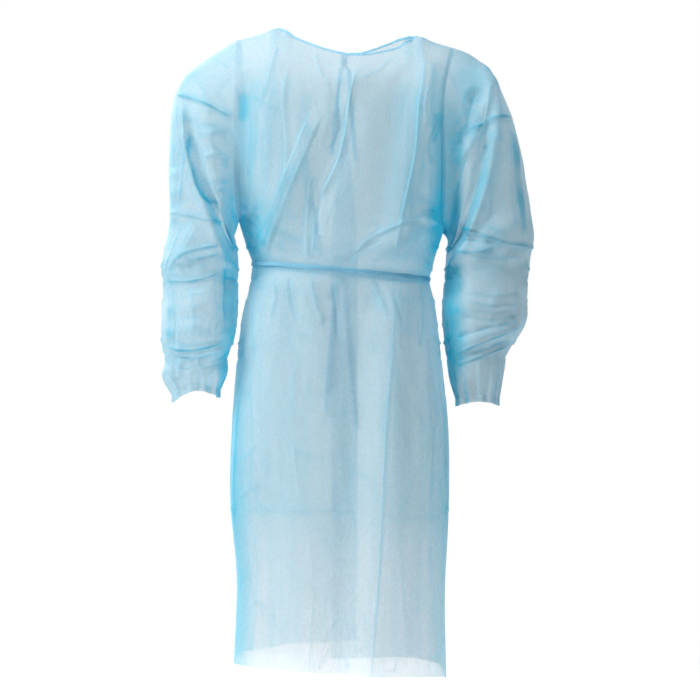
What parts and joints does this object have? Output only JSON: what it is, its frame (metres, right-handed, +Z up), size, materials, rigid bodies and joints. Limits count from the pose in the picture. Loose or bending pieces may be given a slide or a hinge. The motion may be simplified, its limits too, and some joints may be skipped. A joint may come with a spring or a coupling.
{
  "type": "disposable isolation gown, worn",
  "caption": "Knee-length hollow gown of thin non-woven cloth with long sleeves, elastic cuffs, a bound neck and a narrow belt, open and lapped at the back.",
  "frame": {"origin": "midway between the two points where the neck opening meets the shoulder seams, where the wearer's shoulders hold the gown", "axes": "+Z up, along the wearer's height; +X towards the wearer's left; -Y towards the wearer's front"},
  "size_m": [0.6674, 0.3007, 1.1584],
  "materials": {
    "cloth": "matte non-woven, translucent light blue",
    "trim": "folded non-woven, deeper blue"
  },
  "bodies": {
    "root": {"front_panel": "cloth", "back_panel_right": "cloth", "back_panel_left": "cloth", "sleeve_right": "cloth", "sleeve_left": "cloth", "cuff_right": "trim", "cuff_left": "trim", "neck_binding": "trim", "waist_belt": "trim", "neck_tie_left": "trim", "neck_tie_right": "trim", "waist_tie_left": "trim", "waist_tie_right": "trim", "neck_knot": "trim", "waist_knot": "trim"}
  },
  "joints": []
}
